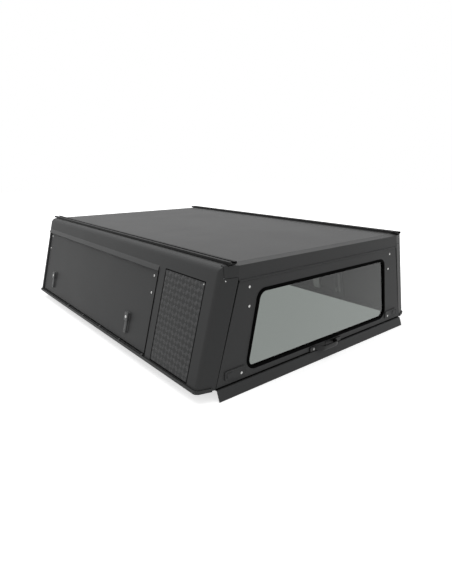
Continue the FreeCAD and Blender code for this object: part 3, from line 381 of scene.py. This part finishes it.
def plastic(name, shade, roughness, grain=0.3, scale=1400, specular=0.4):
    """Moulded plastic or rubber: a fine grain under broad changes of shade and gloss."""
    material, shader = new_material(name, (shade, shade, shade * 1.02), roughness, 0.0, specular)
    place = object_place(material)
    fine = noise(material, place, scale, 2.0)
    broad = noise(material, place, 18, 3.0)
    tint(material, shader, broad, (shade * 0.8,) * 3, (shade * 1.25,) * 3)
    gloss = spread(material, broad, roughness - 0.06, roughness + 0.06)
    wire(material, gloss, shader.inputs["Roughness"])
    normal = bump(material, fine, grain, 0.00008, soft_edges(material, 0.0006))
    wire(material, normal, shader.inputs["Normal"])
    return material


def glass_material(name, base):
    """Clear, with a tint that changes a little from place to place."""
    material, shader = new_material(name, base, 0.0)
    shader.inputs["Transmission Weight"].default_value = 1.0
    shader.inputs["IOR"].default_value = 1.5
    place = object_place(material)
    broad = noise(material, place, 2.2, 2.0)
    tint(material, shader, broad, scaled(base, 0.97), scaled(base, 1.03))
    return material


# Finishes: shade or colour, roughness, and for coats the strength of the grain; the tread bars and drip
# lips take lighter copies of the powder coat as painted highlight
POWDER = coated("powder_coat", 0.036, 0.52, 0.5)
TREAD = coated("tread_plate", 0.036, 0.52, 0.3, edge=0.0006)
# Tread bars: the powder coat made lighter, a painted highlight where the raised bars catch the light
TREAD_BAR_PAINTED_HIGHLIGHT = coated("tread_bar", 0.06, 0.36, 0.2, specular=0.5, edge=0.0004)
# Drip lips: the powder coat made lighter, a painted highlight where they tilt up to the light
LIP_PAINTED_HIGHLIGHT = coated("drip_lip", 0.043, 0.45, 0.3, specular=0.32, edge=0.0006)
LATCH = coated("latch_finish", 0.055, 0.4, 0.2, specular=0.45, edge=0.0005)
RAIL = coated("rail_finish", 0.014, 0.5, 0.15, specular=0.12, edge=0.0008, grain_size=1500, peel=0.1)
WINDOW_RUBBER = plastic("window_rubber", 0.0015, 0.8, specular=0.03)
BULB_RUBBER = plastic("bulb_rubber", 0.008, 0.8, grain=0.6, scale=700, specular=0.2)
BLACK_PLASTIC = plastic("black_plastic", 0.012, 0.45, specular=0.35)
ZINC = metal("zinc_steel", (0.34, 0.34, 0.33), 0.42, scale=250)
STAINLESS = metal("stainless", (0.72, 0.72, 0.71), 0.22, scale=600)
LACQUER = plastic("strut_lacquer", 0.01, 0.22, grain=0.05, specular=0.5)
CHROME = metal("strut_chrome", (0.68, 0.68, 0.68), 0.1, grain=0.02)
GLASS = glass_material("tinted_glass", (0.2, 0.222, 0.208))

SLOT_MATERIALS = {
    "powder_coat": POWDER, "tread_plate": TREAD, "rail_finish": RAIL, "window_rubber": WINDOW_RUBBER,
    "bulb_rubber": BULB_RUBBER, "glass": GLASS, "black_plastic": BLACK_PLASTIC, "zinc_steel": ZINC,
    "strut_black": LACQUER, "strut_chrome": CHROME,
}
# Every solid gets the finish of its slot; the drip lips get a lighter copy of the powder coat, a painted
# highlight for their upward tilt
for entry in frame["record"]["subparts"]:
    node = NODES[entry["node"]]
    for slot_number in range(len(node.material_slots)):
        node.material_slots[slot_number].material = SLOT_MATERIALS[entry["material_slot"]]
for material_slot in NODES["drip_lips"].material_slots:
    material_slot.material = LIP_PAINTED_HIGHLIGHT


# Tread bars: groups of five, turned a quarter from one group to the next
def tread_bars(side_name, side):
    cell_y, cell_up, first_up = 26.0, 28.5, 4
    bars_in_group, bar_pitch = 5, 4.6
    plain_rear, plain_front, plain_ends = 2, 1, 6
    bar = lens_bar(length=19, width=3.0, height=0.95)
    shapes = []
    columns = int((TREAD_FRONT - TREAD_REAR) / cell_y)
    rows = int((TREAD_TOP - TREAD_BOTTOM) / math.cos(LEAN) / cell_up)
    margin = (TREAD_FRONT - TREAD_REAR - columns * cell_y) / 2
    for column in range(columns + 1):
        for row in range(rows + 1):
            y = TREAD_REAR + margin + column * cell_y
            up = TREAD_BOTTOM / math.cos(LEAN) + first_up + row * cell_up
            turn = math.radians(45 if (column + row) % 2 == 0 else -45)
            for number in range(bars_in_group):
                shift = (number - bars_in_group // 2) * bar_pitch
                centre = Vector((-math.sin(turn) * shift, math.cos(turn) * shift))
                bar_y = y + side * centre.x
                bar_z = (up + centre.y) * math.cos(LEAN)
                along = TREAD_REAR + plain_rear < bar_y < TREAD_FRONT - plain_front
                upright = TREAD_BOTTOM + plain_ends < bar_z < TREAD_TOP - plain_ends
                if not (along and upright):
                    continue
                matrix = side_spot(side, bar_y, bar_z, -TREAD_SINK) @ Matrix.Rotation(turn, 4, "Z")
                shapes.append((bar, matrix, 0))
    make_piece("tread_bars_" + side_name, "canopy", shapes, [TREAD_BAR_PAINTED_HIGHLIGHT], 70)


def tread_gap_painted_shade(side_name, side):
    """A black strip in the gap round the tread insert and a little over its edges, darkening the gap as
    painted shade.
    """
    low, high = sorted((side * (TREAD_REAR - TREAD_GAP), side * (TREAD_FRONT + TREAD_GAP)))
    bottom = (TREAD_BOTTOM - TREAD_GAP) / math.cos(LEAN)
    top = (TREAD_TOP + TREAD_GAP) / math.cos(LEAN)
    profile = ((-1.3, 0.02), (-1.2, 0.35), (0.0, 0.6), (2.2, 0.6), (3.6, 0.3), (3.7, -0.45), (2.2, -0.5),
               (2.2, -3.4), (0.0, -3.4), (0.0, 0.02))
    rings = []
    for inset, out in profile:
        corners = ((low + inset, bottom + inset), (high - inset, bottom + inset),
                   (high - inset, top - inset), (low + inset, top - inset))
        rings.append(rounded_ring(corners, 0.4, out, 2))
    make_piece("tread_gap_painted_shade_" + side_name, "canopy",
               [(rings_shape(rings, closed=True), side_spot(side, 0, 0), 0)], [WINDOW_RUBBER], 50)


def opening_seal_and_painted_shade(side_name, side):
    """Rubber edging on the rear edge of the side opening, widened to the dark line of the gap and its
    shade: partly a seal, partly painted shade.
    """
    section = ((452.8, 0.05), (452.8, 1.0), (453.6, 1.5), (459.4, 1.5), (460.4, 0.8), (460.4, -7.0),
               (457.2, -7.0), (457.2, 0.05))
    bottom, top = 18, 432
    rings = [[(side * y, z / math.cos(LEAN), out) for y, out in section] for z in (bottom, top)]
    make_piece("opening_seal_and_painted_shade_" + side_name, "canopy",
               [(rings_shape(rings, cap_start=True), side_spot(side, 0, 0), 0)], [WINDOW_RUBBER], 40)


def rail_foot_painted_shade(side_name, side):
    """Black strips at a rail's feet: painted shade in the gap under its outer edge, and a painted contact
    shadow on the roof along its inner foot.
    """
    outside = ((641.0, 534.6), (641.0, 537.4), (651.4, 537.4),
               (652.0, 536.6), (652.0, 529.0), (646.0, 531.5))
    inside = ((605.5, 534.9), (606.5, 536.6), (609.0, 538.6), (611.9, 540.5),
              (611.9, 537.4), (615.9, 537.4), (615.9, 534.9))
    matrix = frame_matrix(Vector((1, 0, 0)), Vector((0, 0, 1)), Vector((0, -1, 0)),
                          Vector((0, -DATUM, 0)))
    shapes = []
    for section, rear, front in ((outside, -4, 2030), (inside, 26, 2036)):
        rings = [[(side * x, z, -y) for x, z in section] for y in (rear, front)]
        shapes.append((rings_shape(rings, cap_start=True), matrix, 0))
    make_piece("rail_foot_painted_shade_" + side_name, "canopy", shapes, [BULB_RUBBER], 40)


def rim_tabs(side_name, side):
    """Small stops that stand up from the rim across the gap under the side door."""
    first, pitch, count, height = 474, 251, 5, 19
    tab = slab(oblong(7, 4), 1.0, edge_profile(4.5, 0.8, -3.0), 3)
    shapes = [(tab, side_spot(side, first + pitch * number, height), 0) for number in range(count)]
    make_piece("rim_tabs_" + side_name, "canopy", shapes, [LATCH], 40)


# Window rubber: a lip on the panel, a locking strip and a lip on the glass
def window_rubber(name, spot, half_bottom, half_top, bottom, top, body, node):
    """A section of (inset, outward) pairs, carried round the window's rounded outline."""
    radius = 52
    outer_lip = ((0.0, 0.2), (0.1, 1.6), (0.9, 2.9), (2.4, 3.9), (4.4, 4.8), (6.6, 5.6), (8.0, 5.5))
    locking_strip = ((8.5, 4.6), (9.0, 5.6), (10.6, 6.2), (12.6, 6.3), (14.2, 5.8), (15.4, 4.6),
                     (16.2, 2.6), (16.8, 0.2))
    glass_slot = ((17.0, -2.8), (12.8, -2.75), (12.8, -8.25), (17.0, -8.2))
    inner_lip = ((17.0, -11.5), (16.2, -15.0), (14.0, -17.2), (11.0, -17.9), (7.6, -17.0),
                 (6.4, -14.5), (6.3, 0.2))
    profile = outer_lip + locking_strip + glass_slot + inner_lip
    rings = []
    for inset, out in profile:
        corners = trapezoid(half_bottom - inset, half_top - inset, bottom + inset, top - inset)
        rings.append(rounded_ring(corners, radius - inset, out, 14))
    piece = make_piece(name, body, [(rings_shape(rings, closed=True), spot(0, 0), 0)],
                       [WINDOW_RUBBER], 60)
    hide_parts(node)


# Bolts on the doors, where the struts' brackets are fixed inside, and small screws
def door_bolts():
    bolt = button_bolt(*DOOR_BOLT)
    shapes = [(bolt, rear_spot(x, z), 0) for x, z in REAR_DOOR_BOLTS]
    make_piece("rear_door_bolts", "rear_door", shapes, [STAINLESS])
    screw = button_bolt(*PANEL_SCREW)
    for side_name, side in SIDES:
        shapes = [(bolt, side_spot(side, y, z, -SIDE_DOOR_RECESS), 0) for y, z in SIDE_DOOR_BOLTS]
        make_piece("side_door_bolts_" + side_name, side_name + "_door", shapes, [STAINLESS])
        header_x, header_z = HEADER_SCREW
        shapes = [(screw, side_spot(side, *TREAD_SCREW, -TREAD_SINK), 0),
                  (screw, rear_spot(side * header_x, header_z, REAR_POST_OUT), 0)]
        make_piece("panel_screws_" + side_name, "canopy", shapes, [STAINLESS])


# Side latches: a base, a head with a lock, and a lever
def side_latches(side_name, side):
    base = slab(oblong(19, 57), 6, edge_profile(3.0, 1.2))
    head = slab(oblong(17.5, 23, (0, 3)), 5, edge_profile(16.5, 3.0, 2.0))
    lever = slab(oblong(12.5, 34.5, (0, -1.5)), 5, edge_profile(12.0, 3.5, 2.0))
    lock = rings_shape([round_ring(7.5, 16.0), round_ring(7.5, 16.7), round_ring(6.9, 17.0),
                        round_ring(5.6, 17.0), round_ring(5.4, 16.6)])
    # A flat black slit on the lock stands in for its keyway: painted shade
    painted_keyway_shade = slab(oblong(0.7, 3.4), 0.5, ((0, 16.5), (0.1, 16.65)), 2)
    # A flat black disc low on the lever stands in for a hole there: painted shade
    painted_hole_shade = rings_shape([round_ring(3.2, 12.02), round_ring(2.6, 12.04)])
    finish, bright, black = 0, 1, 2
    shapes = []
    for y in LATCHES_ALONG:
        for shape, z, number in ((base, 123, finish), (head, 150, finish), (lever, 102, finish),
                                 (lock, 152, bright), (painted_keyway_shade, 152, black), (painted_hole_shade, 80, black)):
            shapes.append((shape, side_spot(side, y, z, -SIDE_DOOR_RECESS), number))
    piece = make_piece("side_latch_bodies_" + side_name, side_name + "_door", shapes,
                       [LATCH, STAINLESS, WINDOW_RUBBER], 40)
    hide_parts("side_latches_" + side_name)


# Rear handle: a bow on two feet, with a lock in the left one
def rear_handle():
    foot_out, far, foot_x, lock_x = 6.0, 36.5, 101, -99
    half_thick, half_tall, squareness, sides = 4.8, 12.0, 0.6, 20
    path = [(-80, foot_out), (-72, 16), (-63, 29), (-55, 34.5), (-44, far)]
    path += [(-22, far + 0.6), (0, far + 0.8)]
    path += [(-x, out) for x, out in reversed(path[:-1])]
    rings = []
    for number, (x, out) in enumerate(path):
        before = Vector(path[max(number - 1, 0)])
        after = Vector(path[min(number + 1, len(path) - 1)])
        along = (after - before).normalized()
        across = Vector((-along.y, along.x))
        ring = []
        for step in range(sides):
            angle = math.tau * step / sides
            swell = math.copysign(abs(math.cos(angle)) ** squareness, math.cos(angle))
            rise = math.copysign(abs(math.sin(angle)) ** squareness, math.sin(angle))
            point = Vector((x, out)) + across * (half_thick * swell)
            ring.append((point.x, half_tall * rise, point.y))
        rings.append(ring)
    middle = rear_spot(0, HANDLE_HEIGHT)
    shapes = [(rings_shape(rings, cap_start=True), middle, 0)]
    for side in (-1, 1):
        foot = slab(oblong(25, 12, (side * foot_x, 0)), 6, edge_profile(8.0, 2.5))
        shapes.append((foot, middle, 0))
    lock = rings_shape([round_ring(6.8, 7.8), round_ring(6.8, 9.0), round_ring(6.2, 9.4),
                        round_ring(5.0, 9.4), round_ring(4.8, 9.0)])
    # A flat black slit on the lock stands in for its keyway: painted shade
    painted_keyway_shade = slab(oblong(0.7, 3.0), 0.5, ((0, 9.0), (0.1, 9.1)), 2)
    lock_spot = rear_spot(lock_x, HANDLE_HEIGHT - 1)
    plated, black = 1, 2
    shapes += [(lock, lock_spot, plated), (painted_keyway_shade, lock_spot, black)]
    # A flat black plate behind the bow's right half, in place of the shaded finger recess there: painted
    # shade
    back = slab(oblong(36, 13, (38, 2)), 4, edge_profile(1.6, 0.8))
    shapes.append((back, middle, 0))
    piece = make_piece("rear_handle_bow", "rear_door", shapes,
                       [BLACK_PLASTIC, ZINC, WINDOW_RUBBER], 40)
    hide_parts("rear_handle")


# Latch covers: a rounded plate with a sunk frame round a small lid
def latch_covers():
    frame_edge = ((0, 0), (0, 4.6), (0.5, 5.6), (1.6, 6.2), (3.5, 6.4), (4.5, 6.0), (5.2, 5.2), (6.0, 5.0))
    plate = slab(oblong(60.5, 23), 9, frame_edge)
    lid = slab(oblong(17, 13), 4, ((0, 4.6), (0.2, 6.4), (1.2, 7.2), (3.0, 7.4)))
    bolt = button_bolt(*DOOR_BOLT)
    middle_x, lid_x, bolt_x, bolt_height, plate_face = 623.5, 656, 590, 41, 4.8
    shapes, bolts = [], []
    for side in (-1, 1):
        shapes.append((plate, rear_spot(side * middle_x, COVER_HEIGHT), 0))
        shapes.append((lid, rear_spot(side * lid_x, COVER_HEIGHT), 0))
        bolts.append((bolt, rear_spot(side * bolt_x, bolt_height, plate_face), 0))
    piece = make_piece("latch_cover_plates", "rear_door", shapes, [POWDER], 40)
    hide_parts("rear_latch_covers")
    make_piece("latch_cover_bolts", "rear_door", bolts, [STAINLESS])


def door_bottom_black_strip():
    """Black strip along the bottom edge of the rear door, above the flap."""
    bottom, top, half, proud = 2.2, 8.0, 730.5, 1.6
    ring = [(-0.5, bottom), (proud, bottom), (proud, top - 1), (proud - 1, top), (-0.5, top)]
    rings = [[(x, z, out) for out, z in ring] for x in (-half, half)]
    strip = rings_shape(rings, cap_start=True)
    make_piece("door_bottom_black_strip", "rear_door", [(strip, rear_spot(0, 0), 0)],
               [WINDOW_RUBBER], 40)


door_bottom_black_strip()
for side_name, side in SIDES:
    tread_bars(side_name, side)
    tread_gap_painted_shade(side_name, side)
    opening_seal_and_painted_shade(side_name, side)
    rail_foot_painted_shade(side_name, side)
    rim_tabs(side_name, side)
    side_latches(side_name, side)
window_rubber("rear_window_rubber", rear_spot, half_bottom=567, half_top=494, bottom=36, top=410,
              body="rear_door", node="rear_window_seal")
window_rubber("front_window_rubber", front_spot, half_bottom=560, half_top=500, bottom=120, top=430,
              body="canopy", node="front_window_seal")
door_bolts()
rear_handle()
latch_covers()


# Floor, backdrop light and camera
def studio_floor():
    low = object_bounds()[0]
    reach, drop = 14.0, 0.001
    level = low.z - drop
    mesh = bpy.data.meshes.new("studio_floor")
    mesh.from_pydata([(-reach, -reach, level), (reach, -reach, level),
                      (reach, reach, level), (-reach, reach, level)], [], [(0, 1, 2, 3)])
    mesh.materials.append(floor_material())
    floor = bpy.data.objects.new("studio_floor", mesh)
    bpy.context.scene.collection.objects.link(floor)
    floor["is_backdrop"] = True


def larger(owner, first, second):
    node = add_node(owner, "ShaderNodeMath", operation="MAXIMUM")
    wire(owner, first, node.inputs[0])
    wire(owner, second, node.inputs[1])
    return node.outputs[0]


def mixed(owner, share, first, second):
    node = add_node(owner, "ShaderNodeMixShader")
    wire(owner, share, node.inputs[0])
    wire(owner, first, node.inputs[1])
    wire(owner, second, node.inputs[2])
    return node.outputs[0]


def floor_material():
    """Pale and diffuse, white to mirrors and glass, and lifted to white away from the object."""
    near, far, near_lift = 1.0, 3.2, 0.62
    material = bpy.data.materials.new("studio_floor")
    material.use_nodes = True
    material.node_tree.nodes.clear()
    output = add_node(material, "ShaderNodeOutputMaterial")
    path = add_node(material, "ShaderNodeLightPath")
    plain = add_node(material, "ShaderNodeBsdfDiffuse")
    plain.inputs["Color"].default_value = (0.8, 0.8, 0.8, 1)
    white = add_node(material, "ShaderNodeEmission")
    white.inputs["Strength"].default_value = 1.0
    lift = add_node(material, "ShaderNodeEmission")
    place = add_node(material, "ShaderNodeNewGeometry")
    distance = add_node(material, "ShaderNodeVectorMath", operation="LENGTH")
    wire(material, place.outputs["Position"], distance.inputs[0])
    fade = add_node(material, "ShaderNodeMapRange")
    fade.inputs["From Min"].default_value = near
    fade.inputs["From Max"].default_value = far
    fade.inputs["To Min"].default_value = near_lift
    fade.inputs["To Max"].default_value = 1.0
    wire(material, distance.outputs["Value"], fade.inputs["Value"])
    wire(material, fade.outputs["Result"], lift.inputs["Strength"])
    seen = add_node(material, "ShaderNodeAddShader")
    wire(material, plain.outputs[0], seen.inputs[0])
    wire(material, lift.outputs[0], seen.inputs[1])
    through = larger(material, path.outputs["Is Glossy Ray"], path.outputs["Is Transmission Ray"])
    by_camera = mixed(material, path.outputs["Is Camera Ray"], plain.outputs[0], seen.outputs[0])
    by_gloss = mixed(material, through, by_camera, white.outputs[0])
    wire(material, by_gloss, output.inputs["Surface"])
    return material


def studio_world():
    """White to the camera, mirrors and glass, and dimmer as a light on the object."""
    light_level = 0.55
    world = bpy.data.worlds.new("studio_world")
    world.use_nodes = True
    bpy.context.scene.world = world
    background = world.node_tree.nodes["Background"]
    background.inputs["Color"].default_value = (1, 1, 1, 1)
    path = add_node(world, "ShaderNodeLightPath")
    mirrored = larger(world, path.outputs["Is Camera Ray"], path.outputs["Is Glossy Ray"])
    white = larger(world, mirrored, path.outputs["Is Transmission Ray"])
    level = add_node(world, "ShaderNodeMapRange")
    level.inputs["To Min"].default_value = light_level
    level.inputs["To Max"].default_value = 1.0
    wire(world, white, level.inputs["Value"])
    wire(world, level.outputs["Result"], background.inputs["Strength"])


def area_light(name, place, target, size_x, size_y, power):
    light = bpy.data.lights.new(name, "AREA")
    light.shape = "RECTANGLE"
    light.size, light.size_y = size_x, size_y
    light.energy = power
    lamp = bpy.data.objects.new(name, light)
    bpy.context.scene.collection.objects.link(lamp)
    lamp.location = place
    lamp.rotation_mode = "QUATERNION"
    lamp.rotation_quaternion = (Vector(target) - Vector(place)).to_track_quat("-Z", "Y")
    lamp.visible_camera = False


def photo_camera():
    """The photograph's viewing angle. The eye's Y is counted from the body's rear corner."""
    eye = Vector((-1.7405, -1.3184 - DATUM * MM, 0.9312))
    right = Vector((0.7744, -0.6327, 0.0))
    upward = Vector((0.18066, 0.22112, 0.95837))
    backward = Vector((-0.60636, -0.74216, 0.28554))
    data = bpy.data.cameras.new("photo_camera")
    data.lens = 26.65
    data.sensor_width = 36
    data.clip_start = 0.01
    data.clip_end = 100
    camera = bpy.data.objects.new("photo_camera", data)
    bpy.context.scene.collection.objects.link(camera)
    turn = Matrix((right, upward, backward)).transposed().to_4x4()
    camera.matrix_world = Matrix.Translation(eye) @ turn
    bpy.context.scene.camera = camera


studio_floor()
studio_world()
area_light("top_softbox", place=(-0.4, 0.4, 3.4), target=(0, 0, 0.4), size_x=4.0, size_y=4.0, power=90)
photo_camera()
bpy.context.scene.view_settings.view_transform = "Standard"
